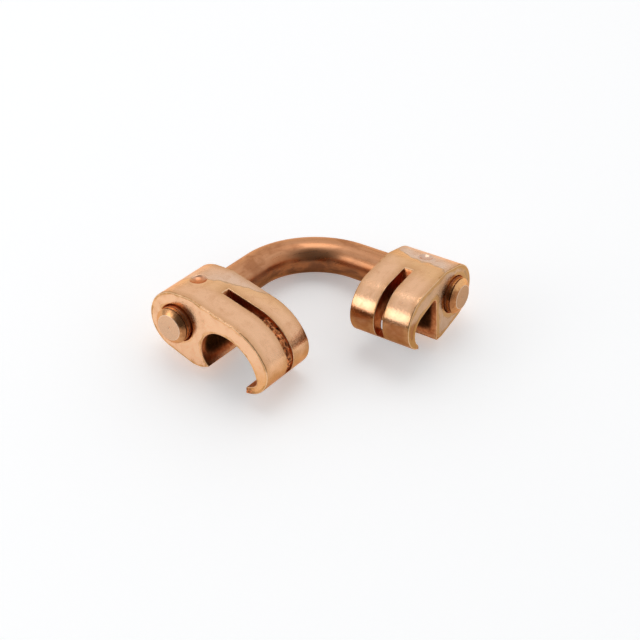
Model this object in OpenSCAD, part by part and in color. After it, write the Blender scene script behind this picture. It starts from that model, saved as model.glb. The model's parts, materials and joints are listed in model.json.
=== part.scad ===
// Crossed tap connector for earthing cable: a round copper rod, bent square, with a
// hooked tap that turns on each leg. The main tap takes the run conductor or ground rod,
// and the branch tap takes the conductor that crosses it. Millimetres, lying at rest.

/* [Rod] */
// Diameter of the rod
rod_d = 12.7; // [9:0.1:15]
// Radius of the bend, along the rod's centre line
bend_r = 25.4; // [18:0.1:60]
// Straight rod between the bend and the main tap
main_straight = 20.5; // [14:0.1:80]
// Straight rod between the bend and the branch tap
branch_straight = 17.2; // [14:0.1:80]
// Rod standing out of the main tap's front face
main_overhang = 4.1; // [3.2:0.1:12]
// Rod standing out of the branch tap's front face
branch_overhang = 3.3; // [3.2:0.1:12]
// Length of the chamfer on each rod end
end_chamfer = 1.4; // [0.4:0.1:1.6]
// Width of that chamfer, across the end
end_chamfer_w = 1.85; // [0.4:0.05:3]
// How far that chamfer is crowned
end_crown = 0.1; // [0.05:0.05:0.4]
// Rings turned behind the chamfer
ring_count = 2; // [1:1:2]
// Spacing of the rings
ring_pitch = 1.3; // [0.8:0.1:1.4]
// Width of each ring groove
ring_w = 0.5; // [0.2:0.05:0.7]
// Depth of each ring groove
ring_depth = 0.35; // [0.1:0.05:0.6]

/* [Swivel] */
// Running clearance between the rod and each bore, on the radius
bore_clearance = 0.1; // [0.05:0.01:0.3]
// Countersink at each bore mouth
bore_countersink = 0.5; // [0.2:0.1:1.5]
// Radius of the punch that marks the main tap over its bore
main_stake_r = 4.3; // [3:0.1:6]
// Depth of that mark
main_stake_dent = 1.25; // [0.3:0.05:1.5]
// Radius of the punch that marks the branch tap over its bore
branch_stake_r = 3.7; // [2:0.1:5]
// Depth of that mark
branch_stake_dent = 0.9; // [0.3:0.05:1.5]
// Radius of the bead that the punch raises inside the bore
bead_r = 1.2; // [0.8:0.1:2]
// How far the bead stands into the bore
bead_height = 0.5; // [0.2:0.05:0.8]
// Clearance round the bead in the rod's retaining groove
bead_clearance = 0.2; // [0.1:0.05:0.4]
// How far the main tap is turned down from the plane of the rod
main_swivel = 1.5; // [-20:0.5:20]
// How far the branch tap is turned down from the plane of the rod
branch_swivel = 0; // [-20:0.5:20]

/* [Main tap] */
// Width along the rod
main_w = 23.2; // [16:0.1:40]
// Wall around the bore
main_wall = 4.75; // [3:0.05:8]
// How far the shoulder stands out from the round of the boss
main_shoulder_rise = 2.46; // [1:0.01:4]
// Direction of the shoulder from the bore, above level
main_shoulder_angle = 41.3; // [30:0.1:60]
// Radius of the shoulder
main_shoulder_r = 7; // [5:0.1:8]
// How far the rounded lip under the seat stands out from the round of the boss
main_lip_reach = 7.35; // [5:0.05:8]
// Direction of the lip from the bore, below level
main_lip_angle = 30.9; // [25:0.1:40]
// Radius of the lip
main_lip_r = 9; // [7:0.1:10]
// Diameter of the seat for the run conductor
main_seat_d = 15.88; // [12:0.01:18]
// Wall between the bore and the seat
main_web = 4; // [2.5:0.1:6]
// Drop of the seat's centre below the rod's axis
main_seat_drop = 5.9; // [4:0.1:8]
// Inner radius of the hook
main_hook_r = 15.1; // [13:0.1:18]
// Thickness of the hook over the seat
main_hook_wall = 5.8; // [4:0.1:8]
// Radius of the hook's nose
main_nose_r = 9.05; // [7:0.05:10]
// Where the nose takes over from the hook, above level
main_nose_angle = 30; // [22:1:38]
// Radius of the corner inside the nose
main_toe_r = 2.2; // [1.5:0.1:4]
// Where that corner takes over from the hook's inside, above level
main_toe_angle = 12; // [5:1:20]
// Slope of the hook tip's inner face
main_tip_slope = 26; // [10:1:40]
// Width of the mouth between the lip and the hook tip
main_mouth = 15.4; // [13:0.1:16]

/* [Branch tap] */
// Width along the rod
branch_w = 23.2; // [16:0.1:40]
// Wall around the bore
branch_wall = 4.25; // [3:0.05:8]
// How far the shoulder stands out from the round of the boss
branch_shoulder_rise = 4.01; // [2:0.01:5]
// Direction of the shoulder from the bore, above level
branch_shoulder_angle = 41.7; // [30:0.1:60]
// Radius of the shoulder
branch_shoulder_r = 6; // [5:0.1:7]
// How far the rounded lip under the mouth stands out from the round of the boss
branch_lip_reach = 7.63; // [5:0.01:8]
// Direction of the lip from the bore, below level
branch_lip_angle = 31.5; // [25:0.1:40]
// Radius of the lip
branch_lip_r = 8; // [7:0.1:10]
// Diameter of the seat for the crossing conductor
branch_seat_d = 11.5; // [9:0.1:13]
// Wall between the bore and the straight side of the mouth
branch_web = 5.6; // [4:0.1:7]
// Gap between the straight side of the mouth and the seat
branch_throat = 1.4; // [0.5:0.1:2.5]
// Drop of the seat's centre below the rod's axis
branch_seat_drop = 4.2; // [3:0.1:6]
// Radius of the top corner of the mouth
branch_corner_r = 1.6; // [1:0.1:2.5]
// Height of that corner's centre above the rod's axis
branch_corner_rise = 2.2; // [1:0.1:3]
// Slope of the straight side of the mouth
branch_side_slope = 5; // [0:1:10]
// Outer radius of the hook
branch_hook_r = 12.3; // [11:0.1:14]
// Thickness of the hook over the seat
branch_hook_wall = 8.3; // [6:0.1:10]
// How far the hook's centre lies back from the seat's
branch_hook_back = 1.6; // [0:0.1:3]
// Radius of the hook's nose
branch_nose_r = 9.4; // [8:0.1:10]
// Where the nose takes over from the hook, above level
branch_nose_angle = 22; // [15:1:40]
// How far round the seat the hook tip reaches, below level
branch_tip_angle = 55; // [45:1:65]

/* [Tie slots] */
// Width of the slot through each hook
slot_w = 3.4; // [2:0.1:6]
// Middle of the main tap's slot, behind its front face
main_slot_setback = 12.6; // [6:0.1:14]
// Start of the main tap's slot, as an angle about its hook
main_slot_start = 108; // [80:1:110]
// End of the main tap's slot
main_slot_end = 4; // [0:1:28]
// Where that slot stops going right through, and its floor starts to rise
main_slot_through = 76; // [60:1:78]
// Angle over which the floor rises
main_slot_ramp = 15; // [4:1:20]
// Depth of the slot past the rise
main_slot_depth = 1; // [0.5:0.1:2]
// Middle of the branch tap's slot, behind its front face
branch_slot_setback = 11.9; // [6:0.1:14]
// Start of the branch tap's slot, as an angle about its hook
branch_slot_start = 116; // [90:1:118]
// End of the branch tap's slot
branch_slot_end = -30; // [-35:1:10]

/* [Hidden] */
$fn = 96;
eps = 0.01;
far = 100;

// Sink of each straight side or arc into the one that it runs on into, and the
// angle that an arc is carried past the join, so that the two cross cleanly there
join = 0.002;
join_angle = 3;

rod_r = rod_d / 2;
end_flat_r = rod_r - end_chamfer_w;
bore_r = rod_r + bore_clearance;

// Stations along each leg, from the corner where the two leg axes meet
main_back = bend_r + main_straight;
main_end = main_back + main_w + main_overhang;
branch_back = bend_r + branch_straight;
branch_end = branch_back + branch_w + branch_overhang;

// Unit vector at an angle
function dir(a) = [cos(a), sin(a)];

// Point at an angle on a circle [x, y, radius]
function on_circle(c, a) = [c.x, c.y] + c.z * dir(a);

// Angle of the points where a line touches two circles, on the left from a to b
function touch_angle(a, b) =
    atan2(b.y - a.y, b.x - a.x) + acos((a.z - b.z) / norm([b.x - a.x, b.y - a.y]));

// Circle inside a larger one that it meets smoothly at an angle
function inner_circle(outer, r, a) =
    let (c = on_circle([outer.x, outer.y, outer.z - r], a))
    [c.x, c.y, r];

// The same, standing proud by the join
function blended_circle(outer, r, a) = inner_circle([outer.x, outer.y, outer.z + join], r, a);

// Circle that stands out of another by a rise at an angle
function grown_circle(from, r, rise, a) = inner_circle([from.x, from.y, from.z + rise], r, a);

// Circle that a straight side touches when it is sunk by the join
function sunk(c) = [c.x, c.y, c.z - join];

// Height of the outline over the bore, where the boss runs on into the shoulder
function top_over_bore(boss, shoulder) = boss.z / sin(max(90, touch_angle(boss, shoulder)));

// Lower point where two circles cross, a being the one on the left
function lower_crossing(a, b) =
    let (
        d = [b.x - a.x, b.y - a.y],
        along = (a.z * a.z - b.z * b.z + d * d) / (2 * norm(d))
    )
    on_circle(a, atan2(d.y, d.x) - acos(along / a.z));

// Circle through two points that bulges by a rise to the right of the line from a to b
function bulged_circle(a, b, rise) =
    let (
        half = (b - a) / 2,
        r = (half * half + rise * rise) / (2 * rise),
        c = (a + b) / 2 + (r - rise) * [-half.y, half.x] / norm(half)
    )
    [c.x, c.y, r];

// Lower point of a circle at a given x
function below_on_circle(c, x) = on_circle(c, -acos((x - c.x) / c.z));

// Circles of the main tap, about its bore
main_boss = [0, 0, bore_r + main_wall];
main_shoulder = grown_circle(main_boss, main_shoulder_r, main_shoulder_rise, main_shoulder_angle);
main_lip = grown_circle(main_boss, main_lip_r, main_lip_reach, -main_lip_angle);
main_seat = [bore_r + main_web + main_seat_d / 2, -main_seat_drop, main_seat_d / 2];
main_inside = [main_seat.x, main_seat.y + main_seat.z - join - main_hook_r, main_hook_r];
main_hook = [main_inside.x, main_inside.y, main_hook_r + main_hook_wall];
main_nose = blended_circle(main_hook, main_nose_r, main_nose_angle);
main_toe = blended_circle(main_inside, main_toe_r, main_toe_angle);

// Ends of the main hook tip's inner face, and its outer corner
main_tip_root = on_circle(sunk(main_toe), main_tip_slope - 90);
main_tip_x = lower_crossing(main_lip, main_seat).x + main_mouth;
main_tip_inner = [main_tip_x, main_tip_root.y - (main_tip_root.x - main_tip_x) * tan(main_tip_slope)];
main_tip_outer = below_on_circle(main_nose, main_tip_x);

// Circles of the branch tap, about its bore
branch_boss = [0, 0, bore_r + branch_wall];
branch_shoulder = grown_circle(branch_boss, branch_shoulder_r, branch_shoulder_rise, branch_shoulder_angle);
branch_lip = grown_circle(branch_boss, branch_lip_r, branch_lip_reach, -branch_lip_angle);
branch_side = bore_r + branch_web;
branch_seat = [branch_side + branch_throat + branch_seat_d / 2, -branch_seat_drop, branch_seat_d / 2];
branch_corner = [branch_side + branch_corner_r, branch_corner_rise, branch_corner_r];
branch_hook = [branch_seat.x - branch_hook_back,
    branch_seat.y + branch_seat.z + branch_hook_wall - branch_hook_r, branch_hook_r];
branch_nose = blended_circle(branch_hook, branch_nose_r, branch_nose_angle);
branch_tip = on_circle(branch_seat, -branch_tip_angle);
branch_tip_outer = below_on_circle(branch_nose, branch_tip.x);

// A tap's circle after the tap is turned down on the rod
function turned(c, a) = [c.x * cos(a) + c.y * sin(a), c.y * cos(a) - c.x * sin(a), c.z];

// Circles of each tap that can touch the floor, a corner being one of no radius
main_feet = [for (c = [main_boss, main_lip, [main_tip_outer.x, main_tip_outer.y, 0]])
    turned(c, main_swivel)];
branch_feet = [for (c = [branch_boss, branch_lip, [branch_tip_outer.x, branch_tip_outer.y, 0]])
    turned(c, branch_swivel)];

// Lowest circle over a floor whose normal is n, in a tap's own section
function lowest(circles, n) =
    let (heights = [for (c = circles) c.x * n.x + c.y * n.y - c.z * norm(n)])
    circles[search(min(heights), heights)[0]];

// Lowest point of the bend's centre line over such a floor
function bend_low(n) = bend_r * [1, -1, 0] - bend_r * [n.x, n.y, 0] / norm([n.x, n.y]);

// Upward unit vector whose products with u and v are p and q
function normal_with(u, v, p, q) =
    let (
        uu = u * u,
        uv = u * v,
        vv = v * v,
        flat = ((p * vv - q * uv) * u + (q * uu - p * uv) * v) / (uu * vv - uv * uv),
        up = cross(u, v)
    )
    flat + sqrt(1 - flat * flat) * up / norm(up);

// Normal of the floor that touches the bend and the back edges of both taps,
// each pass allowing for the lean found before
function floor_normal(n, passes) =
    let (
        main_foot = lowest(main_feet, [n.x, n.z]),
        branch_foot = lowest(branch_feet, [-n.y, n.z])
    )
    passes == 0 ? n : floor_normal(
        normal_with([main_foot.x, -main_back, main_foot.y] - bend_low(n),
            [branch_back, -branch_foot.x, branch_foot.y] - bend_low(n),
            main_foot.z * norm([n.x, n.z]) - rod_r,
            branch_foot.z * norm([n.y, n.z]) - rod_r),
        passes - 1);

first_lean = [0.2, -0.2, 0.96];
up = floor_normal(first_lean, 8);
lean = acos(up.z);
lean_axis = cross(up, [0, 0, 1]) / sin(lean);

// A direction of the resting part, seen from the rod's own frame
function before_lean(p) =
    p * cos(lean) - cross(lean_axis, p) * sin(lean) + lean_axis * (lean_axis * p) * (1 - cos(lean));

rest_x = before_lean([1, 0, 0]);
rest_y = before_lean([0, 1, 0]);

// Rims that can lie outermost, as [centre, axis, radius]
function leg_rims(axis, back, w, end, boss_r) = [
    [back * axis, axis, boss_r],
    [(back + w) * axis, axis, boss_r],
    [end * axis, axis, end_flat_r],
];
rims = concat(
    leg_rims([0, -1, 0], main_back, main_w, main_end, main_boss.z),
    leg_rims([1, 0, 0], branch_back, branch_w, branch_end, branch_boss.z));

// Furthest reach of the rims along a direction
function reach(d) = max([for (r = rims) r[0] * d + r[2] * sqrt(1 - pow(r[1] * d, 2))]);

// Middle of the rims along a direction
function middle(d) = (reach(d) - reach(-d)) / 2 * d;

floor_height = bend_low(up) * up - rod_r;
rest_centre = middle(rest_x) + middle(rest_y) + floor_height * up;

// Lays the part on the floor with its bottom centre at the origin
module at_rest() {
    rotate(a = lean, v = lean_axis) translate(-rest_centre) children();
}

module disc(c) {
    translate([c.x, c.y]) circle(c.z);
}

// Wedge from a circle's centre out past its rim, under half a turn wide
module wedge(c, from, to) {
    polygon([[c.x, c.y], for (a = [from, (from + to) / 2, to]) on_circle([c.x, c.y, 2 * c.z], a)]);
}

// Part of a circle inside such a wedge
module slice(c, from, to) {
    intersection() {
        disc(c);
        wedge(c, from, to);
    }
}

// Two circles joined by the lines that touch both
module link(a, b) {
    left = touch_angle(a, b);
    right = 2 * atan2(b.y - a.y, b.x - a.x) - left;
    disc(a);
    disc(b);
    polygon([on_circle(sunk(a), left), on_circle(sunk(b), left),
        on_circle(sunk(b), right), on_circle(sunk(a), right)]);
}

// Tap before its groove is cut: boss, shoulder, lip, and the hook with its nose
module tap_outline(boss, shoulder, lip, hook, nose, nose_angle) {
    crown = touch_angle(shoulder, hook);
    link(boss, shoulder);
    link(boss, lip);
    slice(hook, nose_angle, crown + join_angle);
    disc(nose);
    polygon([[boss.x, boss.y], on_circle(sunk(shoulder), crown), on_circle(sunk(hook), crown),
        [nose.x, nose.y]]);
}

// Seat at the bore's side, running on into the wider hook and out of the mouth
module main_groove() {
    disc(main_seat);
    slice(main_inside, main_toe_angle, 90);
    disc(main_toe);
    polygon([[main_seat.x, main_seat.y], [main_toe.x, main_toe.y], main_tip_root, main_tip_inner,
        [main_tip_x, -far], [main_seat.x, -far]]);
}

// Seat inside the hook, joined to the mouth's top corner and its straight side
module branch_groove() {
    side_top = on_circle(sunk(branch_corner), 180 - branch_side_slope);
    link(branch_corner, branch_seat);
    polygon([side_top, [branch_corner.x, branch_corner.y], [branch_seat.x, branch_seat.y],
        [branch_tip.x, branch_seat.y], [branch_tip.x, -far],
        side_top - far * [tan(branch_side_slope), 1]]);
}

// Metal left under the lower part of the main tap's slot, with its sloping end
module main_slot_floor() {
    centre = [main_hook.x, main_hook.y];
    ramp_foot = on_circle(main_inside, main_slot_through);
    ramp_top = on_circle(main_hook, main_slot_through - main_slot_ramp);
    ramp = ramp_top - ramp_foot;
    wide = [centre.x, centre.y, 2 * main_hook.z];
    intersection() {
        union() {
            slice(main_hook - [0, 0, main_slot_depth], main_nose_angle, main_slot_through + join_angle);
            disc(main_nose - [0, 0, main_slot_depth]);
        }
        polygon([centre, ramp_foot - ramp, ramp_top + ramp, on_circle(wide, main_nose_angle),
            on_circle(wide, main_nose_angle - 90)]);
    }
}

module main_slot() {
    difference() {
        wedge(main_hook, main_slot_start, main_slot_end);
        main_slot_floor();
    }
}

// Tap cut from bar with its outline, groove and slot given as children, then bored and staked
module tap(w, top, slot_at, stake_r, stake_dent) {
    difference() {
        linear_extrude(w) difference() {
            children(0);
            children(1);
        }
        translate([0, 0, -eps]) cylinder(r = bore_r, h = w + 2 * eps);
        for (face = [0, 1]) translate([0, 0, face * w]) mirror([0, 0, face]) translate([0, 0, -eps])
            cylinder(r1 = bore_r + bore_countersink + eps, r2 = bore_r, h = bore_countersink + eps);
        translate([0, 0, slot_at - slot_w / 2]) linear_extrude(slot_w) children(2);
        translate([0, top + stake_r - stake_dent, w / 2]) sphere(stake_r);
    }
    translate([0, bore_r + bead_r - bead_height, w / 2]) sphere(bead_r);
}

// Straight leg with its crowned, ringed end and the groove that the bead runs in
module turned_leg(length, bead_at) {
    shank = length - end_chamfer;
    rim = [rod_r, shank];
    flat = [end_flat_r, length];
    bead_groove_w = 2 * (bead_r + bead_clearance);
    bead_groove_depth = bead_height - bore_clearance + bead_clearance;
    rotate_extrude() difference() {
        intersection() {
            square([rod_r, length]);
            union() {
                polygon([[-rod_r, -eps], [2 * rod_r, -eps], 2 * rim - flat, 2 * flat - rim,
                    [-rod_r, length + rod_r]]);
                disc(bulged_circle(rim, flat, end_crown) + [0, 0, join]);
            }
        }
        for (k = [0 : ring_count - 1])
            translate([rod_r - ring_depth, shank - k * ring_pitch - ring_w]) square([rod_r, ring_w]);
        translate([rod_r - bead_groove_depth, bead_at - bead_groove_w / 2]) square([rod_r, bead_groove_w]);
    }
}

module bent_rod() {
    color("peru") at_rest() {
        translate([bend_r, -bend_r, 0]) rotate([0, 0, 90])
            rotate_extrude(angle = 90) translate([bend_r, 0]) circle(rod_r);
        translate([0, -bend_r, 0]) rotate([90, 0, 0])
            turned_leg(main_end - bend_r, main_straight + main_w / 2);
        translate([bend_r, 0, 0]) rotate([0, 90, 0])
            turned_leg(branch_end - bend_r, branch_straight + branch_w / 2);
    }
}

module main_tap() {
    color("sandybrown") at_rest()
        translate([0, -main_back, 0]) rotate([90, 0, 0]) rotate([0, 0, -main_swivel])
        tap(main_w, top_over_bore(main_boss, main_shoulder), main_w - main_slot_setback,
            main_stake_r, main_stake_dent) {
            tap_outline(main_boss, main_shoulder, main_lip,
                main_hook, main_nose, main_nose_angle);
            main_groove();
            main_slot();
        }
}

module branch_tap() {
    color("burlywood") at_rest()
        translate([branch_back + branch_w, 0, 0]) rotate([90, 0, -90]) rotate([0, 0, -branch_swivel])
        tap(branch_w, top_over_bore(branch_boss, branch_shoulder), branch_slot_setback,
            branch_stake_r, branch_stake_dent) {
            tap_outline(branch_boss, branch_shoulder, branch_lip,
                branch_hook, branch_nose, branch_nose_angle);
            branch_groove();
            wedge(branch_hook, branch_slot_start, branch_slot_end);
        }
}

bent_rod();
main_tap();
branch_tap();
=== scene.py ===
import json

import bmesh
import bpy
import numpy as np
from mathutils import Matrix, Vector
from mathutils.geometry import delaunay_2d_cdt


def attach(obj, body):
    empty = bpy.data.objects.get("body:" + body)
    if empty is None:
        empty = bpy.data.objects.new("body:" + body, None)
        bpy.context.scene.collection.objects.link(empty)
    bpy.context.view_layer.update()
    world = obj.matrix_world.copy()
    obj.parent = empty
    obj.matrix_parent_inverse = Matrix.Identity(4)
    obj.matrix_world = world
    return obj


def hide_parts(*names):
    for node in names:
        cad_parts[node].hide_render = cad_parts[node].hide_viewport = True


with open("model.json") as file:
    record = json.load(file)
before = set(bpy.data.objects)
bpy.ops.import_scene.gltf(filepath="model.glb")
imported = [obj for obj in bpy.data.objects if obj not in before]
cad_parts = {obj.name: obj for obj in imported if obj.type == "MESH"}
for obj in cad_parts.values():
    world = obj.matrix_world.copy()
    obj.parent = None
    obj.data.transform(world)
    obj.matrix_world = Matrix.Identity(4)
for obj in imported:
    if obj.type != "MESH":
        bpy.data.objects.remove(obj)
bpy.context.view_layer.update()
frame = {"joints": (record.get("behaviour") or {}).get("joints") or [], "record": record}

# Bent rod: one length of drawn half-inch copper bar, bent square cold. Both ends are turned in a
# lathe, with a chamfer and two rings, before the bend is made and the taps go on.
# Sizes are in millimetres, and every mesh is put down in metres.
mm = 0.001
rod_r, bend_r = 6.35, 25.4
main_end, branch_end = 73.2, 69.1
main_flat_r, branch_flat_r = 4.5, 4.2
end_chamfer, end_crown = 1.4, 0.1
ring_count, ring_pitch, ring_w, ring_depth = 2, 1.3, 0.5, 0.35
bead_groove_w, bead_groove_depth, groove_wall = 2.8, 0.6, 0.02
dimple_r, dimple_depth = 0.55, 0.22
turned_length, lathe_round = 4.0, 0.035
profile_step, shank_step, shank_gap = 0.02, 1.5, 0.5
crown_points, bend_rings, rod_sides = 13, 81, 128
end_keep = 3
weld_gap, least_edge = 2e-7, 1e-8

swivels = {j["child"]: j for j in frame["joints"]}
main_pivot, branch_pivot = (np.array(swivels[tap]["pos_m"]) / mm for tap in ("main_tap", "branch_tap"))
main_out, branch_out = (np.array(swivels[tap]["axis"]) for tap in ("main_tap", "branch_tap"))
to_main, to_branch = np.linalg.lstsq(np.c_[main_out, -branch_out], main_pivot - branch_pivot,
                                     rcond=None)[0]
corner = main_pivot - to_main * main_out
rod_up = np.cross(main_out, branch_out)


def eased(points, sigma):
    """Open line walked at equal steps, each point then the Gaussian mean of its neighbours along the
    line, so that corners become small rounds; reflecting the line through its ends keeps them."""
    run = np.r_[0, np.cumsum(np.hypot(*np.diff(points, axis=0).T))]
    at = np.linspace(0, run[-1], int(run[-1] / profile_step) + 1)
    line = np.c_[np.interp(at, run, points[:, 0]), np.interp(at, run, points[:, 1])]
    half = int(4 * sigma / profile_step)
    weight = np.exp(-0.5 * (np.arange(-half, half + 1) * profile_step / sigma) ** 2)
    line = np.r_[2 * line[0] - line[half:0:-1], line, 2 * line[-1] - line[-2:-half - 2:-1]]
    return np.c_[tuple(np.convolve(line[:, k], weight / weight.sum(), "valid") for k in (0, 1))]


def turned_end(flat_r):
    """Profile (distance along the rod, radius) of one end: a dimple of Gaussian form in the flat, the
    chamfer crowned as a parabola, the rings as square grooves, the shank."""
    rings = [(end_chamfer + k * ring_pitch + side * ring_w, rod_r - sunk * ring_depth)
             for k in range(ring_count) for side, sunk in ((0, 0), (0, 1), (1, 1), (1, 0))]
    across = np.linspace(0, 1, crown_points)[1:-1, None]
    slope = np.array([end_chamfer, rod_r - flat_r])
    outward = np.array([-slope[1], slope[0]]) / np.hypot(*slope)
    crown = [0, flat_r] + across * slope + 4 * end_crown * across * (1 - across) * outward
    line = eased(np.array([(0, 0), (0, flat_r), *crown, *rings, (turned_length, rod_r)]), lathe_round)
    line = line[::end_keep]
    line[0] = 0
    line[:, 0] += dimple_depth * np.exp(-(line[:, 1] / dimple_r) ** 2)
    return line


def shank(length, bead_at):
    """Profile (distance, radius) from the turned end to the bend, with the square groove that the tap's
    bead runs in."""
    low, high = bead_at - bead_groove_w / 2, bead_at + bead_groove_w / 2
    along = np.r_[np.arange(turned_length + shank_gap, low, shank_step),
                  low, low + groove_wall, high - groove_wall, high,
                  np.arange(high + 2 * shank_gap, length - shank_gap, shank_step)]
    sunk = (along > low) & (along < high)
    return np.c_[along, rod_r - bead_groove_depth * sunk]


def centre_line(s):
    """Point and tangent at distance s from the main end: straight leg, quarter circle about the bend's
    centre, straight leg."""
    straight, quarter = main_end - bend_r, bend_r * np.pi / 2
    psi = np.clip((s - straight) / bend_r, 0, np.pi / 2)[:, None]
    beyond = np.maximum(s - straight - quarter, 0)[:, None]
    before = np.maximum(straight - s, 0)[:, None]
    bend_centre = corner + bend_r * (main_out + branch_out)
    point = (bend_centre - bend_r * (np.cos(psi) * branch_out + np.sin(psi) * main_out)
             + before * main_out + beyond * branch_out)
    return point, np.sin(psi) * branch_out - np.cos(psi) * main_out


def quads(rows, columns, wrap=False):
    """Quads between neighbours in a grid of points that are numbered row by row, each row closed on
    itself if wrap is set."""
    index = np.arange(rows * columns).reshape(rows, columns)
    index = np.c_[index, index[:, :1]] if wrap else index
    return np.stack([index[:-1, :-1], index[1:, :-1], index[1:, 1:], index[:-1, 1:]], -1).reshape(-1, 4)


def new_piece(name, points, faces, attributes):
    """Mesh of points in millimetres and lists of faces, welded where points meet, normals turned
    outwards, shaded smooth, with one attribute per name for its material."""
    mesh = bpy.data.meshes.new(name)
    mesh.from_pydata((points * mm).tolist(), [], [f for part in faces for f in part.tolist()])
    for key, values in attributes.items():
        kind, field = ("FLOAT_VECTOR", "vector") if values.ndim == 2 else ("FLOAT", "value")
        layer = mesh.attributes.new(key, kind, "POINT")
        layer.data.foreach_set(field, values.astype(np.float32).ravel())
    bm = bmesh.new()
    bm.from_mesh(mesh)
    bmesh.ops.remove_doubles(bm, verts=bm.verts, dist=weld_gap)
    bmesh.ops.dissolve_degenerate(bm, edges=bm.edges, dist=least_edge)
    bmesh.ops.recalc_face_normals(bm, faces=bm.faces)
    bm.to_mesh(mesh)
    bm.free()
    mesh.shade_smooth()
    piece = bpy.data.objects.new(name, mesh)
    bpy.context.scene.collection.objects.link(piece)
    return piece


bend_length = bend_r * np.pi / 2
rod_length = main_end - bend_r + bend_length + branch_end - bend_r
main_leg = shank(main_end - bend_r, main_end - to_main)
branch_leg = shank(branch_end - bend_r, branch_end - to_branch)
bend = np.c_[main_end - bend_r + np.linspace(0, bend_length, bend_rings), np.full(bend_rings, rod_r)]
far_side = np.r_[turned_end(branch_flat_r), branch_leg][::-1] * [-1, 1] + [rod_length, 0]
profile = np.r_[turned_end(main_flat_r), main_leg, bend, far_side]
around = np.linspace(0, 2 * np.pi, rod_sides, endpoint=False)
point, tangent = centre_line(profile[:, 0])
sideways = np.cross(tangent, rod_up)
spoke = sideways[:, None] * np.cos(around)[:, None] + rod_up * np.sin(around)[:, None]
rod_points = (point[:, None] + profile[:, 1, None, None] * spoke).reshape(-1, 3)
straight = np.stack(np.broadcast_arrays(profile[:, :1], profile[:, 1:] * np.cos(around),
                                        profile[:, 1:] * np.sin(around)), -1).reshape(-1, 3)
bent_rod = new_piece("bent_rod_drawn", rod_points, [quads(len(profile), rod_sides, wrap=True)],
                     {"straight": straight})


class Wire:
    """One socket of a material's nodes. Sums, differences and products of wires and numbers add Math
    nodes, and node() adds any other."""

    def __init__(self, tree, socket=None):
        self.tree, self.socket = tree, socket

    def node(self, kind, settings=None, sockets=None, output=None):
        """Node of a type, its settings made first, then its sockets given values or wires."""
        made = self.tree.nodes.new("ShaderNode" + kind)
        for key, value in (settings or {}).items():
            setattr(made, key, value)
        for key, value in (sockets or {}).items():
            into = made.inputs[key] if isinstance(key, int) else next(
                s for s in made.inputs if s.name == key and s.enabled)
            if isinstance(value, Wire):
                self.tree.links.new(value.socket, into)
            else:
                into.default_value = value
        out = next(s for s in made.outputs if s.enabled and output in (None, s.name))
        return Wire(self.tree, out)

    def math(self, operation, *values):
        """Math node of wires and numbers."""
        return self.node("Math", {"operation": operation}, dict(enumerate(values)))

    def __add__(self, other):
        return self.math("ADD", self, other)

    def __sub__(self, other):
        return self.math("SUBTRACT", self, other)

    def __rsub__(self, other):
        return self.math("SUBTRACT", other, self)

    def __mul__(self, other):
        return self.math("MULTIPLY", self, other)

    __radd__, __rmul__ = __add__, __mul__


def blank_material(name):
    """New material with its shader; returns both and a first wire."""
    material = bpy.data.materials.new(name)
    material.use_nodes = True
    shader = material.node_tree.nodes["Principled BSDF"]
    return material, shader, Wire(material.node_tree)


def attribute(wire, name, output="Fac"):
    """What the mesh says at each point under a name."""
    return wire.node("Attribute", {"attribute_name": name}, output=output)


def noise(wire, at, scale, detail=2.0, roughness=0.5, distortion=0.0):
    """Cloudy value between 0 and 1, with a number of lumps to a millimetre."""
    return wire.node("TexNoise", {}, {"Vector": at, "Scale": scale, "Detail": detail,
                                      "Roughness": roughness, "Distortion": distortion}, "Fac")


def stretched(wire, at, scale):
    """Place multiplied along each axis, so that a pattern there is drawn out or packed."""
    return wire.node("Mapping", {}, {"Vector": at, "Scale": scale}, "Vector")


def part_of(wire, vector, axis):
    """One part of a vector."""
    return wire.node("SeparateXYZ", {}, {"Vector": vector}, axis)


def along_way(wire, vector, way):
    """How far a vector goes along a way: their dot product."""
    return wire.node("VectorMath", {"operation": "DOT_PRODUCT"}, {0: vector, 1: way}, "Value")


def ease_between(wire, value, low, high, bottom=0.0, top=1.0):
    """Smooth step of a value between two limits."""
    return wire.node("MapRange", {"interpolation_type": "SMOOTHSTEP"},
                     {"Value": value, "From Min": low, "From Max": high, "To Min": bottom, "To Max": top},
                     "Result")


def fade_between(wire, value, low, high):
    """Smooth step from one down to nothing."""
    return ease_between(wire, value, low, high, 1.0, 0.0)


def tinted(wire, share, under, over):
    """Colour that goes from one to the other by a share."""
    return wire.node("Mix", {"data_type": "RGBA"}, {"Factor": share, "A": under, "B": over}, "Result")


def linked(wire, value, shader, name):
    """Puts a wire into one of the shader's sockets."""
    wire.tree.links.new(value.socket, shader.inputs[name])


def copper_skin(wire, shader, colour, roughness, relief, depth, strength):
    """Metal of a colour and roughness, its relief a bump of some depth in metres, its glancing
    reflections tinted as copper's are."""
    linked(wire, colour, shader, "Base Color")
    linked(wire, roughness, shader, "Roughness")
    bumped = wire.node("Bump", {}, {"Height": relief, "Distance": depth, "Strength": strength}, "Normal")
    linked(wire, bumped, shader, "Normal")
    shader.inputs["Metallic"].default_value = 1.0
    shader.inputs["Specular Tint"].default_value = (1.0, 0.72, 0.52, 1)


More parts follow.
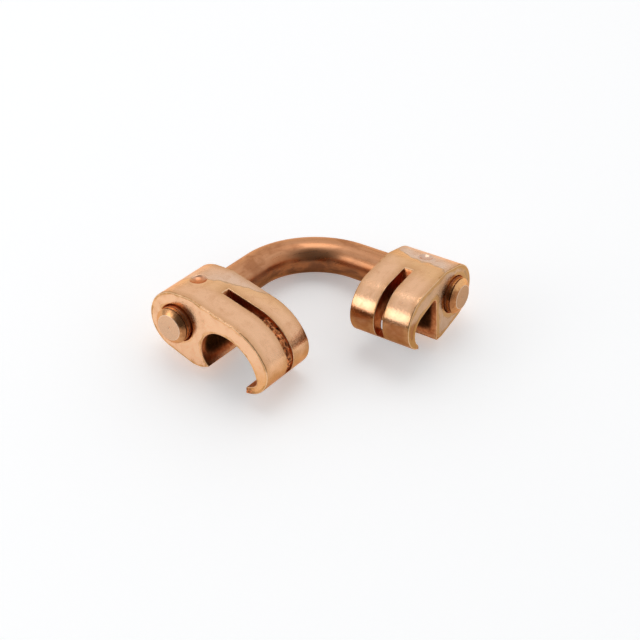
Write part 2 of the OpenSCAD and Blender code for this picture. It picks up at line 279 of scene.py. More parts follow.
def rod_copper():
    """Drawn bar: soft streaks along the rod, brown tarnish in patches, painted shade on the lower side, dark
    flecks; on the turned ends fresh metal, painted darker on the branch end as shade, a painted highlight
    round the rim of the flat, a chamfer with painted shade on one side and, on the branch end, a painted
    highlight above, and dark rings, partly oxide and partly painted shade in their grooves."""
    streak_brown, streak_pink = (0.54, 0.22, 0.092, 1), (0.70, 0.36, 0.195, 1)
    tarnish_brown, fleck_brown = (0.36, 0.135, 0.055, 1), (0.24, 0.09, 0.045, 1)
    under_red, under_dark = (0.38, 0.125, 0.04, 1), (0.16, 0.055, 0.024, 1)
    main_fresh, branch_fresh_shaded = (0.78, 0.49, 0.31, 1), (0.50, 0.32, 0.205, 1)
    main_slant, branch_slant = (0.76, 0.37, 0.155, 1), (0.66, 0.29, 0.11, 1)
    chamfer_shade_brown, top_highlight_gold = (0.30, 0.105, 0.036, 1), (0.98, 0.55, 0.24, 1)
    rim_highlight, ring_dark = (0.98, 0.80, 0.64, 1), (0.20, 0.055, 0.02, 1)

    material, shader, wire = blank_material("rod_copper_drawn")
    along = attribute(wire, "straight", "Vector")
    streak = noise(wire, stretched(wire, along, (0.05, 1.0, 1.0)), 1.1)
    patch = noise(wire, stretched(wire, along, (0.5, 1.0, 1.0)), 0.16, 4.0, 0.6, 0.4)
    fleck = noise(wire, along, 1.5, 3.0, 0.6)
    from_main, above = part_of(wire, along, "X"), part_of(wire, along, "Z")
    from_end = wire.math("MINIMUM", from_main, rod_length - from_main)
    turned = fade_between(wire, from_end, 2.2, 3.6)
    far = ease_between(wire, from_main, 0.4 * rod_length, 0.6 * rod_length)
    section = wire.node("VectorMath", {"operation": "MULTIPLY"}, {0: along, 1: (0, 1, 1)}, "Vector")
    radius = wire.node("VectorMath", {"operation": "LENGTH"}, {0: section}, "Value")

    colour = tinted(wire, streak, streak_brown, streak_pink)
    tarnish = ease_between(wire, patch, 0.46, 0.66) * (1 - turned)
    colour = tinted(wire, tarnish * 0.6, colour, tarnish_brown)
    # painted shade: the lower side of the rod darker, red to dark brown in patches
    under = fade_between(wire, above + (patch - 0.5) * 8.0, -0.5, 5.2)
    painted_underside_shade = tinted(wire, ease_between(wire, patch, 0.4, 0.6), under_red, under_dark)
    colour = tinted(wire, under * 0.88, colour, painted_underside_shade)
    colour = tinted(wire, ease_between(wire, fleck, 0.60, 0.72) * 0.4, colour, fleck_brown)

    # fresh turned metal on both ends, painted darker on the branch end as shade
    colour = tinted(wire, turned * 0.85, colour, tinted(wire, far, main_fresh, branch_fresh_shaded))
    off_rim = radius - main_flat_r + far * (main_flat_r - branch_flat_r)
    slant = ease_between(wire, off_rim, 0.06, 0.2) * turned
    colour = tinted(wire, slant * 0.9, colour, tinted(wire, far, main_slant, branch_slant))
    # painted shade on one side of each chamfer, broken up by the streaks
    toward_dark_side = along_way(wire, along, (0.0, 0.94, 0.34))
    chamfer_shade = ease_between(wire, toward_dark_side + (streak - 0.5) * 4.0, 2.0, 5.2) * slant
    colour = tinted(wire, chamfer_shade * 0.75, colour, chamfer_shade_brown)
    # painted highlight on the upper side of the branch end's chamfer
    painted_top_highlight = ease_between(wire, above + (streak - 0.5) * 3.0, 3.2, 5.0) * slant * far
    colour = tinted(wire, painted_top_highlight * 0.7, colour, top_highlight_gold)
    # painted highlight: a bright line round the edge of the flat end
    rim = ease_between(wire, off_rim, -0.08, 0.0) * fade_between(wire, off_rim, 0.04, 0.14)
    colour = tinted(wire, rim * turned * 0.65, colour, rim_highlight)
    # dark in the ring grooves: partly oxide, partly painted shade in these recesses
    in_ring = (fade_between(wire, radius, rod_r - 0.28, rod_r - 0.04)
               * ease_between(wire, from_end, end_chamfer - 0.1, end_chamfer + 0.1))
    colour = tinted(wire, in_ring * turned * 0.9, colour, ring_dark)

    lathe = noise(wire, stretched(wire, along, (14.0, 0.02, 0.02)), 1.0, 1.0) * turned
    wave = noise(wire, stretched(wire, along, (0.35, 1.0, 1.0)), 0.5)
    copper_skin(wire, shader, colour, 0.22 + streak * 0.14 + tarnish * 0.14 - turned * 0.03,
                streak * 0.5 + fleck * 0.25 + lathe * 0.5 + wave * 0.8, 0.05 * mm, 0.7)
    return material


bent_rod.data.materials.append(rod_copper())
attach(bent_rod, "rod")
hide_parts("bent_rod")

# Main tap: the larger hook, an extruded copper bar sawn to length, bored for the rod and slotted. The
# cutter went right through at the slot's upper end only, and left a torn floor below. A punch mark
# over the bore raises a bead inside that keeps the tap on the rod, where it turns.
tap_w, bore_r, countersink = 23.2, 6.45, 0.5
corner_round, edge_round, rim_round, bore_round = 0.28, 0.3, 0.2, 0.06
shelf_in = 0.1
slot_half = 1.7
ridge_h, ridge_w = 0.14, 0.45
rip_depth = 0.16
floor_tear, floor_grit, floor_cover = 0.28, 0.06, 0.15
line_step, arc_step, slot_step, row_step, face_step = 0.02, 0.05, 0.13, 0.16, 0.7
edge_rows, plain_rows, slot_columns = 6, 9, 27
rim_rings, slot_rings, bore_sides, bore_keep = 5, 9, 96, 4

main_seat_at, main_hook_at = (18.39, -5.9), (18.39, -13.062)
main_lip, main_tip = (13.51, -12.16), (28.912, -13.848)
main_top = 11.208
# slot: from angle, to angle, place along the rod; blind: open above this angle, ramp down to this one,
# depth of the floor; punch mark: radius of the ball, depth, how strongly its hollow is painted red as
# shade and raw metal; torn: spots and their sizes
main_slot = (4.0, 108.0, -1.0)
main_blind = (76.0, 61.0, 1.0)
main_punch = (4.3, 1.25, 1.0)
main_torn = [((28.9, -15.0), 1.3), ((28.7, -16.2), 0.9), ((30.9, -15.3), 1.1)]
main_seed = 11


def chain(*steps):
    """Closed outline, counter-clockwise, from arcs (x, y, radius, from, to) and corner points (x, y)."""
    def arc(x, y, r, start, stop):
        a = np.radians(np.linspace(start, stop, int(abs(np.radians(stop - start)) * r / arc_step) + 2))
        return np.c_[x + r * np.cos(a), y + r * np.sin(a)]
    return np.concatenate([arc(*s) if len(s) == 5 else np.array([s]) for s in steps])


def softened(points, sigma):
    """Closed line walked at equal steps and blurred by a Gaussian of the given width, through its
    Fourier terms, so that corners become small rounds. Returns the line, its outward normals, its
    curvature, and how far it can be drawn in: part of the least radius of the bulges close by."""
    part, most, close_by, blur = 0.6, 1.0, 0.7, 0.2
    points = np.r_[points, points[:1]]
    run = np.r_[0, np.cumsum(np.hypot(*np.diff(points, axis=0).T))]
    count = int(run[-1] / line_step)
    at = np.arange(count) * run[-1] / count
    line = np.interp(at, run, points[:, 0]) + 1j * np.interp(at, run, points[:, 1])
    wave = 2 * np.pi * np.fft.fftfreq(count, run[-1] / count)
    terms = np.fft.fft(line) * np.exp(-0.5 * (wave * sigma) ** 2)
    line, ahead, swing = (np.fft.ifft((1j * wave) ** k * terms) for k in (0, 1, 2))
    normal = -1j * ahead / abs(ahead)
    curvature = (np.conj(ahead) * swing).imag / abs(ahead) ** 3
    near = int(close_by / line_step)
    room = np.minimum(part / np.maximum(curvature, 1e-6), most)
    room = np.lib.stride_tricks.sliding_window_view(np.pad(room, near, "wrap"), 2 * near + 1).min(1)
    room = np.fft.ifft(np.fft.fft(room) * np.exp(-0.5 * (wave * blur) ** 2)).real
    return np.c_[line.real, line.imag], np.c_[normal.real, normal.imag], abs(curvature), room


def torn(shape, length, width, seed):
    """Seeded noise on a grid, blurred over a number of cells each way and scaled to a spread of one."""
    field = np.random.default_rng(seed).standard_normal(shape)
    fu, fv = np.meshgrid(np.fft.fftfreq(shape[0]), np.fft.fftfreq(shape[1]), indexing="ij")
    blur = np.exp(-2 * np.pi ** 2 * ((length * fu) ** 2 + (width * fv) ** 2))
    field = np.fft.ifft2(np.fft.fft2(field) * blur).real
    return field / field.std()


def within(points, loop):
    """Which points lie inside a closed loop: an odd number of its sides are crossed to the right."""
    a, b = loop, np.roll(loop, -1, 0)
    level = points[:, 1:2]
    rise = np.where(a[:, 1] == b[:, 1], 1e-9, b[:, 1] - a[:, 1])
    crossing = a[:, 0] + (level - a[:, 1]) * (b[:, 0] - a[:, 0]) / rise
    spans = (a[:, 1] > level) != (b[:, 1] > level)
    return (spans & (points[:, :1] < crossing)).sum(1) % 2 == 1


def least_gap(points, loop):
    """Distance from each point to the nearest point of a loop."""
    return np.sqrt(((points[:, None] - loop) ** 2).sum(-1).min(1))


def hooked_tap(name, outline, groove, hook_at, slot, blind, top, punch, torn_at, place, seed):
    """Tap as one closed skin. Its wall is the outline carried across the width, drawn in by the round of
    the edges at both faces. Where the slot passes, wall cells are left out, and a collar of rings leads
    from the outer rim, round its eased edge, along rays to the hook's centre, down to the inner rim, or
    to the floor where the slot is blind. Flat faces fill the outline outside the bore, which is turned
    about the rod. Every point also says how far from an edge, how much painted shade and how torn it is,
    and in the punch dent how red it is painted."""
    points, faces, edge, painted_shade, ragged = [], [], [], [], []

    def add(grid, cells, edge_gap, shade_share, raw):
        """Takes in a grid of points, its cells by the grid's own numbers, and what its points say."""
        faces.append(sum(map(len, points)) + cells)
        points.append(grid.reshape(-1, 3))
        for store, values in ((edge, edge_gap), (painted_shade, shade_share), (ragged, raw)):
            store.append(np.broadcast_to(values, grid.shape[:-1]).ravel())

    line, normal, curvature, room = softened(outline, corner_round)
    count = len(line)
    low, high, slot_z = slot
    through, ramp_end, floor_depth = blind or (low, low, 0.0)

    # places on the outer and the inner side of the hook, by the angle about its centre
    spoke = line - hook_at
    angle = np.degrees(np.unwrap(np.arctan2(spoke[:, 1], spoke[:, 0])))
    rise = np.argmax(angle > high + 5)
    back = np.degrees(np.unwrap(np.arctan2(spoke[::-1, 1], spoke[::-1, 0])))
    back -= 360 * np.round((back[0] - angle[0]) / 360)
    fall = np.argmax(back > high + 3)
    outer_at = lambda a: np.interp(a, angle[:rise], np.arange(rise))
    inner_at = lambda a: count - 1 - np.interp(a, back[:fall], np.arange(fall))

    def along(t):
        """Points and normals at fractional places of the line."""
        grid = np.arange(count + 1)
        pick = lambda v: np.c_[tuple(np.interp(t % count, grid, np.r_[v[:, k], v[0, k]]) for k in (0, 1))]
        n = pick(normal)
        return pick(line), n / np.linalg.norm(n, axis=1)[:, None]

    def radius(a, place_of):
        """Distance from the hook's centre to one of its sides, at some angles."""
        return np.hypot(*(along(place_of(a.ravel()))[0] - hook_at).T).reshape(a.shape)

    # places round the outline, even on the slot and elsewhere closer together where the line turns
    reach = radius(np.array([0.5 * (low + high)]), outer_at)[0]
    margin = np.degrees(rim_round / reach)
    theta = np.linspace(low, high, int(np.radians(high - low) * reach / slot_step))
    theta[np.argmin(abs(theta - through))] = through
    t_outer = outer_at(np.r_[low - margin, theta, high + margin])
    t_inner = inner_at(theta[theta >= through][::-1])
    crowd = np.cumsum(np.tile(line_step * (4.5 + 5 * curvature), 2))

    def walk(a, b):
        """Places between two on the line, each the same share of the crowding from the last."""
        low_sum, high_sum = np.interp([a, b], np.arange(2 * count), crowd)
        sums = np.linspace(low_sum, high_sum, int(high_sum - low_sum) + 2)[1:-1]
        return np.interp(sums, crowd, np.arange(2 * count))

    beyond_slot = walk(t_outer[-1], t_inner[0])
    t = np.r_[t_outer, beyond_slot, t_inner, walk(t_inner[-1], t_outer[0] + count)]
    first_inner = len(t_outer) + len(beyond_slot)
    rim, out = along(t)
    # the edges' round shrinks on sharp corners, so that it stays inside them
    most_in = edge_round + shelf_in
    out = out * np.minimum(1, np.interp(t % count, np.arange(count), room) / most_in)[:, None]

    # rows across the width, fine on the slot and round the punch mark
    half = tap_w / 2
    bow = np.radians(np.linspace(0, 90, edge_rows))
    edge_z = half - edge_round * (1 - np.sin(bow))
    edge_in = edge_round * (1 - np.cos(bow))
    slot_rows = slot_z + np.r_[-slot_half - rim_round, np.linspace(-slot_half, slot_half, slot_columns),
                               slot_half + rim_round]
    punch_r, punch_depth, punch_shade_and_raw = punch
    mark_r = np.sqrt(2 * punch_r * punch_depth - punch_depth ** 2)
    ridge_end = mark_r + 0.8
    fine_low, fine_high = min(slot_rows[0], -ridge_end), max(slot_rows[-1], ridge_end)
    rows = np.r_[np.linspace(-edge_z[0], fine_low, plain_rows)[:-1],
                 np.arange(fine_low, slot_rows[0] - 0.05, row_step), slot_rows,
                 np.arange(slot_rows[-1] + row_step, fine_high, row_step),
                 np.linspace(fine_high, edge_z[0], plain_rows)]
    z = np.r_[-edge_z[:0:-1], rows, edge_z[1:]]
    inset = np.r_[edge_in[:0:-1], 0 * rows, edge_in[1:]]
    first_slot = len(edge_z) - 1 + np.argmin(abs(rows - slot_rows[0]))
    last_slot = first_slot + len(slot_rows) - 1

    # wall, with the punch mark a part of a ball pressed into its top and a ridge raised round it
    wall = np.empty((len(t), len(z), 3))
    wall[..., :2] = rim[:, None] - inset[:, None] * out[:, None]
    wall[..., 2] = z
    on_top = wall[..., 1] > 6
    dent = punch_r ** 2 - wall[..., 0] ** 2 - wall[..., 2] ** 2
    bottom = top + punch_r - punch_depth - np.sqrt(np.maximum(dent, 0))
    pressed = (dent > 0) & on_top & (bottom < wall[..., 1])
    # painted shade and raw metal in the punch dent: a red share that grows with the depth pressed
    punch_shade_and_raw_share = punch_shade_and_raw * np.clip((wall[..., 1] - bottom) / punch_depth, 0, 1) ** 0.5 * pressed
    wall[..., 1] = np.where(pressed, bottom, wall[..., 1])
    off_mark = np.hypot(wall[..., 0], wall[..., 2]) - mark_r
    wall[..., 1] += ridge_h * np.exp(-(off_mark / ridge_w) ** 2) * on_top

    # ends of the hook and the lip, torn by the shear
    away = [np.hypot(*(rim - spot).T)[:, None] for spot, _ in torn_at]
    ripped = sum(np.exp(-(d / size) ** 2) for d, (_, size) in zip(away, torn_at))
    ripped = np.minimum(ripped, 1) * np.clip((half - edge_round - abs(z)) / 0.8, 0, 1)
    rips = 0.5 * torn(wall.shape[:2], 2.2, 2.2, seed + 2) + 0.5 * torn(wall.shape[:2], 0.9, 0.9, seed + 3)
    wall[..., :2] -= (rip_depth * np.maximum(rips + 0.9, 0) * ripped)[..., None] * out[:, None]

    # cells of the wall outside the slot, and how its points lie to the edges and inside the hook
    keep = np.ones((len(t), len(z) - 1), bool)
    keep[:len(t_outer) - 1, first_slot:last_slot] = False
    keep[first_inner:first_inner + len(t_inner) - 1, first_slot + 1:last_slot - 1] = False
    cells = quads(len(t) + 1, len(z))[keep.ravel()] % wall[..., 0].size
    slot_gap_z = np.maximum(abs(z - slot_z) - slot_half, 0)
    past_slot = np.maximum(np.arange(len(t)) - len(t_outer) + 1, 0) * 0.2
    slot_gap = np.hypot(slot_gap_z, past_slot[:, None])
    first, last = (np.argmin(np.hypot(*(line - spot).T)) for spot in groove)
    inside = np.maximum(np.minimum(t % count - first, last - t % count) * line_step, 0)
    # painted shade: darker deeper inside the hook's mouth and towards the middle of the width
    dimness = (1 - np.exp(-inside / 1.6))[:, None] * (1 - 0.6 * np.exp(-(half - abs(z)) / 1.2))
    add(wall, cells, np.minimum(half - abs(z), slot_gap), dimness, 0.9 * ripped)

    # collar of the slot: one ring of places round it, eased at the rim and then carried inwards
    m = slot_rows[1:-1] - slot_z
    n, w = len(theta), len(m)
    ring_theta = np.r_[theta, np.full(w + 2, high), theta[::-1], np.full(w + 2, low)]
    ring_z = np.r_[np.full(n + 1, slot_half), m[::-1], np.full(n + 2, -slot_half), m, slot_half]
    push_theta = np.r_[np.zeros(n), np.ones(w + 2), np.zeros(n), -np.ones(w + 2)] * margin
    push_z = np.r_[np.ones(n + 1), np.zeros(w), -np.ones(n + 2), np.zeros(w), 1] * rim_round
    turn = np.radians(np.linspace(0, 90, rim_rings))[:, None]
    r_theta = np.r_[ring_theta + push_theta * (1 - np.sin(turn)), np.repeat(ring_theta[None], slot_rings, 0)]
    r_z = np.r_[ring_z + push_z * (1 - np.sin(turn)), np.repeat(ring_z[None], slot_rings, 0)]
    ray = np.stack([np.cos(np.radians(r_theta)), np.sin(np.radians(r_theta))], -1)
    r_outer = radius(r_theta, outer_at)
    r_inner = radius(np.maximum(ring_theta, through), inner_at)
    bottom_r = r_inner
    if blind:
        # a ramp up from the inner rim, then a floor at an even depth, both torn
        foot = radius(np.array([through]), inner_at)[0]
        skin_r = radius(theta, outer_at)
        ramp = np.clip((through - theta) / (through - ramp_end), 0, 1) ** 0.8
        ramp_r = foot + (radius(np.array([ramp_end]), outer_at)[0] - foot) * ramp
        floor_r = skin_r - floor_depth
        floor_r = np.where(theta > ramp_end - 8, np.minimum(ramp_r, floor_r), floor_r)
        tear = floor_tear * torn((n, w), 6.0, 3.0, seed) + floor_grit * torn((n, w), 2.6, 1.8, seed + 1)
        fade = np.clip((through - theta) / 6, 0, 1) * np.clip((theta - low) / 4, 0.25, 1)
        floor = np.minimum(floor_r[:, None] + tear * fade[:, None], skin_r[:, None] - floor_cover)
        open_r = radius(np.maximum(theta, through), inner_at)
        side_r = np.where((theta < through)[:, None], floor, open_r[:, None])
        bottom_r = np.r_[side_r[:, -1], np.full(w + 2, r_inner[n]), side_r[::-1, 0],
                         floor[0, 0], floor[0], floor[0, -1]]
    sink = np.r_[np.zeros(rim_rings), np.linspace(0, 1, slot_rings + 1)[1:]][:, None]
    dip = np.r_[rim_round * (1 - np.cos(turn[:, 0])), np.full(slot_rings, rim_round)][:, None]
    start_r = r_outer - np.minimum(dip, 0.5 * np.maximum(r_outer - bottom_r, 0))
    r = start_r + sink * (bottom_r - start_r)
    collar = np.concatenate([hook_at + r[..., None] * ray, (slot_z + r_z)[..., None]], -1)
    # the first ring lies on the wall's own points
    collar[0, :, :2] = along(outer_at(r_theta[0]))[0]
    depth = r_outer - r
    # painted shade in the slot: darker the further into it
    add(collar, quads(*r.shape, wrap=True), depth, 0.8 * (1 - np.exp(-depth / 0.5)),
        np.clip((through - 10 - ring_theta) / 14, 0, 1) * sink)
    if blind:
        strip_theta = np.radians(theta[theta <= through])
        strip_r = floor[:len(strip_theta)].copy()
        strip_r[-1] = foot
        unit = np.c_[np.cos(strip_theta), np.sin(strip_theta)]
        strip = np.concatenate([hook_at + strip_r[..., None] * unit[:, None],
                                np.broadcast_to(slot_z + m, strip_r.shape)[..., None]], -1)
        strip[-1, :, :2] = along(inner_at(np.array([through])))[0]
        # a light painted shade on the torn floor
        add(strip, quads(*strip_r.shape), 1.0, 0.25, 1.0)

    # bore, turned about the rod from its profile (radius, place along the rod)
    turns = np.linspace(0, 2 * np.pi, bore_sides, endpoint=False)
    mouth_r = bore_r + countersink
    drop = eased(np.array([(mouth_r + 0.35, half), (mouth_r, half), (bore_r, half - countersink),
                           (bore_r, half - 1.2)]), bore_round)[::bore_keep]
    shaft = np.r_[drop, drop[::-1] * [1, -1]]
    bore = np.stack(np.broadcast_arrays(shaft[:, :1] * np.cos(turns), shaft[:, :1] * np.sin(turns),
                                        shaft[:, 1:]), -1)
    # painted shade inside the bore, away from its mouths
    add(bore, quads(len(shaft), bore_sides, wrap=True), (abs(shaft[:, 0] - mouth_r) + 0.1)[:, None],
        np.clip((half - abs(shaft[:, 1])) / 0.6, 0, 1)[:, None], 0.0)

    # flat faces: a narrow shelf inside the edges' round, then triangles on a loose grid to the bore
    brim, shelf = rim - edge_round * out, rim - most_in * out
    hole = bore[0, :, :2]
    (x_low, y_low), (x_high, y_high) = shelf.min(0), shelf.max(0)
    gx, gy = np.meshgrid(np.arange(x_low, x_high, face_step), np.arange(y_low, y_high, face_step))
    spots = np.c_[gx.ravel(), gy.ravel()]
    spots = spots[within(spots, shelf) & (np.hypot(*spots.T) > hole[0, 0] + 0.3)]
    spots = spots[least_gap(spots, shelf) > face_step / 2]
    loops = [np.arange(len(shelf)), len(shelf) + np.arange(len(hole))]
    sides = np.concatenate([np.c_[loop, np.roll(loop, -1)] for loop in loops])
    corners, _, tris, *_ = delaunay_2d_cdt(list(map(Vector, np.r_[shelf, hole, spots].tolist())),
                                           list(map(tuple, sides.tolist())), [], 1, 1e-6)
    corners, tris = np.array(corners), np.array(tris)
    middle = corners[tris].mean(1)
    tris = tris[within(middle, shelf) & (np.hypot(*middle.T) > hole[0, 0] * np.cos(np.pi / len(hole)))]
    gap = np.minimum(least_gap(corners, brim), abs(np.hypot(*corners.T) - mouth_r))

    def rawness(flat):
        """Share of torn metal on a face: a Gaussian fall round each torn spot."""
        return sum(0.8 * np.exp(-(np.hypot(*np.moveaxis(flat - spot, -1, 0)) / (1.4 * size)) ** 2)
                   for spot, size in torn_at)

    shelves = np.stack([brim, shelf])
    for level in (-half, half):
        at_level = lambda flat: np.concatenate([flat, np.full((*flat.shape[:-1], 1), level)], -1)
        add(at_level(shelves), quads(*shelves.shape[:2], wrap=True), np.array([[0.0], [shelf_in]]), 0.0,
            rawness(shelves))
        add(at_level(corners), tris, gap, 0.0, rawness(corners))

    bar = np.concatenate(points)
    origin, x_way, y_way, z_way = place
    placed = origin + bar[:, :1] * x_way + bar[:, 1:2] * y_way + bar[:, 2:] * z_way
    return new_piece(name, placed, faces, {
        "bar": bar, "edge": np.concatenate(edge), "painted_shade": np.concatenate(painted_shade),
        "ragged": np.concatenate(ragged),
        "punch_shade_and_raw": np.r_[punch_shade_and_raw_share.ravel(), np.zeros(len(bar) - punch_shade_and_raw_share.size)]})


def tap_place(pivot, outward, seat_name, seat_at, hand):
    """Origin and axes of a tap's section: x towards the hook, y up, z along the rod, from the place of
    its seat in the record; hand is -1 where that makes a left-handed set."""
    seat = next(m for m in frame["record"]["mounts"] if m["name"] == seat_name)
    to_seat = np.array(seat["pos_m"]) / mm - pivot
    to_seat -= (to_seat @ outward) * outward
    to_seat /= np.linalg.norm(to_seat)
    across = hand * np.cross(outward, to_seat)
    c, s = np.array(seat_at) / np.hypot(*seat_at)
    return pivot, c * to_seat - s * across, s * to_seat + c * across, outward


main_outline = chain(
    (28.654, -7.136, 9.05, -88.4, 30), (*main_hook_at, 20.9, 30, 76.7), (5.003, 4.396, 7, 76.7, 92.2),
    (0, 0, 11.2, 92.2, 252.4), (8.195, -4.904, 9, -107.6, -53.8), main_lip,
    (*main_seat_at, 7.94, 232.1, 90), (*main_hook_at, 15.1, 90, 12), (31.01, -10.38, 2.2, 12, -64),
    main_tip, (28.912, -16.182))
main_place = tap_place(main_pivot, main_out, "main_conductor_seat", main_seat_at, 1)
main_tap = hooked_tap("main_tap_hook", main_outline, (main_lip, main_tip), main_hook_at, main_slot,
                      main_blind, main_top, main_punch, main_torn, main_place, main_seed)


def tap_copper(name, body, dry, stained, tide_way, tide_at, lower_shade, sawn_shade, stain):
    """Bare extruded copper: satin with an uneven skin, clean where dry and ochre where a film of oil stood
    and left a tide line, painted darker on the sawn faces as shade by a share given per tap, grimy and
    stained in patches along its edges and worn bright on them, dark flecks, painted shade in brown below a
    level of the hook, red to black as painted shade in its hollows, red in the punch mark as painted shade
    with raw metal, and raw where it was torn, in orange and dark blotches, the dark partly painted shade."""
    tide_ochre, mottle_brown = (0.52, 0.285, 0.09, 1), (0.66, 0.325, 0.155, 1)
    fleck_brown, sawn_face_shade = (0.40, 0.17, 0.075, 1), (0.50, 0.345, 0.235, 1)
    grime_tan, band_brown = (0.54, 0.265, 0.10, 1), (0.42, 0.195, 0.05, 1)
    worn_bright = (0.97, 0.68, 0.46, 1)
    punch_red, punch_brown = (0.80, 0.29, 0.11, 1), (0.50, 0.165, 0.06, 1)
    hollow_red, hollow_orange = (0.42, 0.115, 0.036, 1), (0.68, 0.25, 0.095, 1)
    deep_black, deep_brown = (0.02, 0.006, 0.002, 1), (0.085, 0.025, 0.008, 1)
    raw_orange, raw_dark = (0.78, 0.30, 0.115, 1), (0.15, 0.045, 0.02, 1)

    material, shader, wire = blank_material(name)
    bar = attribute(wire, "bar", "Vector")
    edge, painted_shade, ragged, punch_shade_and_raw = (attribute(wire, key) for key in ("edge", "painted_shade", "ragged", "punch_shade_and_raw"))
    broad = noise(wire, bar, 0.12, 3.0, 0.5, 0.4)
    mottle = noise(wire, bar, 0.32, 4.0, 0.6, 0.3)
    grain = noise(wire, stretched(wire, bar, (1.0, 1.0, 0.15)), 2.2, 3.0, 0.6)
    peel = noise(wire, bar, 1.0)
    fleck = noise(wire, bar, 1.9, 3.0, 0.65)
    blotch = noise(wire, bar, 0.55, 4.0, 0.65, 0.6)

    film = along_way(wire, bar, tide_way) - tide_at + (broad - 0.5) * 9.0
    wet = ease_between(wire, film, 0.0, 0.6)
    dried = tinted(wire, ease_between(wire, film, -12.0, -2.0), body, dry)
    oiled = tinted(wire, ease_between(wire, film, 1.0, 11.0, 0.7, 0.0), body, stained)
    colour = tinted(wire, wet, dried, oiled)
    tide = ease_between(wire, film, -0.5, 0.0) * fade_between(wire, film, 0.0, 0.5)
    colour = tinted(wire, tide * 0.6, colour, tide_ochre)
    colour = tinted(wire, ease_between(wire, mottle, 0.42, 0.78) * 0.5, colour, mottle_brown)
    flecks = ease_between(wire, fleck, 0.61, 0.72)
    colour = tinted(wire, flecks * 0.5, colour, fleck_brown)

    half = tap_w / 2
    sawn = ease_between(wire, part_of(wire, bar, "Z"), half - 0.12, half - 0.02)
    # painted shade: the sawn faces darker grey, by a share given per tap
    colour = tinted(wire, sawn * (sawn_shade * 0.7 + mottle * sawn_shade * 0.6), colour, sawn_face_shade)

    # painted shade: brown below a level of the hook, and darker still on the walls there
    level, depth, share, brown, wall_shade_brown = lower_shade
    height = part_of(wire, bar, "Y") + (fleck - 0.5) * 3.0
    on_hook = ease_between(wire, part_of(wire, bar, "X"), 11.0, 16.0)
    low = fade_between(wire, height, level - depth, level) * on_hook
    colour = tinted(wire, low * (share * 0.6 + mottle * share * 0.8), colour, brown)
    colour = tinted(wire, low * (1 - sawn) * mottle * 0.9, colour, wall_shade_brown)

    grime = fade_between(wire, edge + (mottle - 0.5) * 3.0, 0.2, 3.2) * (1 - sawn)
    colour = tinted(wire, grime * 0.42, colour, grime_tan)
    frayed = edge + (blotch - 0.5) * 1.3
    band = fade_between(wire, frayed, 0.1, 0.6) * ease_between(wire, broad + mottle, 0.86, 1.06)
    colour = tinted(wire, band * 0.85, colour, band_brown)
    stain_w, stain_share, ochre, ochre_line = stain
    wide = frayed + (broad - 0.5) * 3.0 - sawn * stain_w
    crust = fade_between(wire, wide, -0.3, 0.5) * sawn
    colour = tinted(wire, crust * stain_share, colour, ochre)
    line = ease_between(wire, wide, 0.05, 0.3) * fade_between(wire, wide, 0.3, 0.6) * sawn
    line = line * ease_between(wire, mottle, 0.42, 0.6)
    colour = tinted(wire, line * stain_share, colour, ochre_line)
    colour = tinted(wire, fade_between(wire, edge, 0.02, 0.16) * 0.5, colour, worn_bright)

    # painted shade and raw metal: red in the punch dent
    colour = tinted(wire, punch_shade_and_raw, colour, tinted(wire, blotch, punch_red, punch_brown))
    patchy = ease_between(wire, blotch, 0.35, 0.7)
    # painted shade in the hollows: red, then black where it is strongest
    hollow = ease_between(wire, painted_shade, 0.0, 0.75)
    colour = tinted(wire, hollow, colour, tinted(wire, patchy, hollow_red, hollow_orange))
    deep = ease_between(wire, painted_shade, 0.76, 0.96)
    colour = tinted(wire, deep, colour, tinted(wire, patchy, deep_black, deep_brown))
    # raw torn metal in orange and dark blotches; the dark is partly painted shade
    raw = tinted(wire, ease_between(wire, blotch, 0.44, 0.58), raw_orange, raw_dark)
    colour = tinted(wire, ragged, colour, raw)

    roughness = 0.19 + (mottle + band + flecks + painted_shade + punch_shade_and_raw) * 0.10 + deep * 0.35 + ragged * 0.22
    relief = grain * 0.35 + peel * 0.8 + fleck * 0.25 + mottle * 0.6
    copper_skin(wire, shader, colour, roughness, relief, 0.06 * mm, 0.8)
    return material


# painted shade on this tap: the hook darker below a level
main_tap.data.materials.append(tap_copper(
    "main_tap_copper_bare", body=(0.93, 0.548, 0.325, 1), dry=(0.86, 0.58, 0.41, 1),
    stained=(0.90, 0.52, 0.25, 1), tide_way=(0.5, 0.0, 1.0), tide_at=-1.0,
    lower_shade=(-1.0, 10.0, 0.6, (0.80, 0.36, 0.10, 1), (0.40, 0.18, 0.07, 1)), sawn_shade=0.0,
    stain=(0.3, 0.45, (0.70, 0.325, 0.09, 1), (0.50, 0.235, 0.055, 1))))
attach(main_tap, "main_tap")
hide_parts("main_tap")

# Branch tap: the smaller hook for the conductor that crosses, sawn and bored as the main tap is, from
# its own extruded copper bar, and kept on the other leg by its own bead, where it turns. Its slot goes
# right through.
branch_seat_at, branch_hook_at = (19.2, -4.2), (17.6, -2.45)
branch_lip, branch_tip = (10.7, -13.17), (22.498, -8.91)
branch_top = 10.835
branch_slot = (-30.0, 116.0, -0.3)
branch_punch = (3.7, 0.9, 0.3)
branch_torn = [((22.5, -9.7), 0.9), ((10.6, -13.0), 1.0)]
branch_seed = 23
branch_outline = chain(
    (20.29, -1.363, 9.4, -76.4, 22), (*branch_hook_at, 12.3, 22, 80.5), (6.503, 5.794, 6, 80.5, 99.05),
    (0, 0, 10.7, 99.05, 253.65), (8.808, -5.397, 8, -106.35, -76.3), branch_lip,
    (13.65, 2.2, 1.6, 175, 70.26), (*branch_seat_at, 5.75, 70.26, -55), (22.498, -10.5))
branch_place = tap_place(branch_pivot, branch_out, "branch_conductor_seat", branch_seat_at, -1)
branch_tap = hooked_tap("branch_tap_hook", branch_outline, (branch_lip, branch_tip), branch_hook_at,
                        branch_slot, None, branch_top, branch_punch, branch_torn, branch_place, branch_seed)
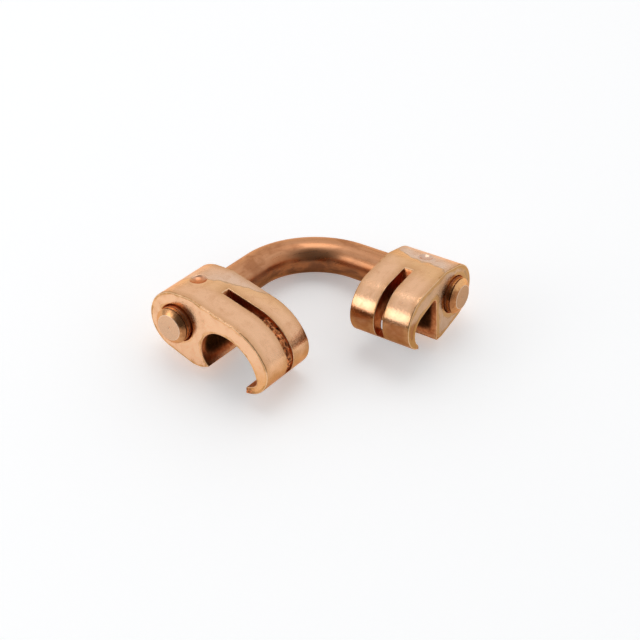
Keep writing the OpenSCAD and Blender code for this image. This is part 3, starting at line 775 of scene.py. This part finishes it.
# painted shade on this tap: the hook darker below a level, and the sawn faces darker
branch_tap.data.materials.append(tap_copper(
    "branch_tap_copper_bare", body=(0.92, 0.545, 0.325, 1), dry=(0.76, 0.60, 0.50, 1),
    stained=(0.87, 0.51, 0.235, 1), tide_way=(1.0, 0.0, -0.3), tide_at=4.0,
    lower_shade=(2.4, 2.0, 0.9, (0.34, 0.125, 0.043, 1), (0.38, 0.135, 0.045, 1)), sawn_shade=0.8,
    stain=(1.1, 0.75, (0.50, 0.275, 0.095, 1), (0.26, 0.135, 0.04, 1))))
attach(branch_tap, "branch_tap")
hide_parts("branch_tap")

# Studio: a flat pale floor that looks white and keeps the shadow, the pale walls of a light tent with a
# dark card behind the camera, two soft boxes, and the camera where the photograph was taken from.
floor_half = 3.0
floor_white, floor_glow = (0.94, 0.94, 0.935, 1), (0.3, 0.3, 0.3, 1)
floor_mesh = bpy.data.meshes.new("studio_floor")
floor_mesh.from_pydata([(x * floor_half, y * floor_half, 0) for x, y in ((-1, -1), (1, -1), (1, 1), (-1, 1))],
                       [], [(0, 1, 2, 3)])
studio_floor = bpy.data.objects.new("studio_floor", floor_mesh)
bpy.context.scene.collection.objects.link(studio_floor)
floor_material, floor_shader, floor_wire = blank_material("pale_floor")
floor_shader.inputs["Base Color"].default_value = floor_white
floor_shader.inputs["Roughness"].default_value = 0.7
seen, mirrored, through_glass = (floor_wire.node("LightPath", {}, {}, ray) for ray in (
    "Is Camera Ray", "Is Glossy Ray", "Is Transmission Ray"))
in_view = seen.math("MAXIMUM", seen, seen.math("MAXIMUM", mirrored, through_glass))
linked(floor_wire, tinted(floor_wire, in_view, (0, 0, 0, 1), floor_glow), floor_shader, "Emission Color")
floor_shader.inputs["Emission Strength"].default_value = 1.0
floor_mesh.materials.append(floor_material)

tent_white = (0.97, 0.98, 1.0, 1)
tent_up, card_way = (0.0, 0.45, 1.0), (0.377, -0.577, 0.723)
world = bpy.data.worlds.new("studio")
bpy.context.scene.world = world
world.use_nodes = True
sky = Wire(world.node_tree)
way = sky.node("TexCoord", {}, {}, "Generated")
tent = ease_between(sky, along_way(sky, way, tent_up), -0.35, 0.35, 0.22, 0.84)
card = ease_between(sky, along_way(sky, way, card_way), 0.5, 0.96, 1.0, 0.18)
background = world.node_tree.nodes["Background"]
background.inputs["Color"].default_value = tent_white
linked(sky, tent * card, background, "Strength")


def soft_box(name, place, size, power):
    """Square area lamp facing the middle of the part."""
    lamp = bpy.data.lights.new(name, "AREA")
    lamp.shape, lamp.size, lamp.energy = "SQUARE", size, power
    box = bpy.data.objects.new(name, lamp)
    box.matrix_world = Matrix.Translation(place) @ Vector(place).to_track_quat("Z", "Y").to_matrix().to_4x4()
    bpy.context.scene.collection.objects.link(box)


soft_box("overhead", (-0.25, 0.25, 1.05), 0.6, 1.4)
soft_box("front", (-0.62, -0.80, 0.43), 0.55, 1.5)

eye = Vector((0.186691, -0.285614, 0.368357))
right, down, ahead = (Vector(v) for v in ((0.814397, 0.578691, 0.043291), (0.446396, -0.577006, -0.683955),
                                          (-0.370883, 0.576347, -0.728196)))
camera = bpy.data.objects.new("camera", bpy.data.cameras.new("camera"))
camera.data.lens, camera.data.sensor_width = 81.339, 36.0
camera.matrix_world = Matrix.Translation(eye) @ Matrix((right, -down, -ahead)).transposed().to_4x4()
camera.data.clip_start = 0.01
bpy.context.scene.collection.objects.link(camera)
bpy.context.scene.camera = camera
bpy.context.scene.view_settings.view_transform = "Standard"
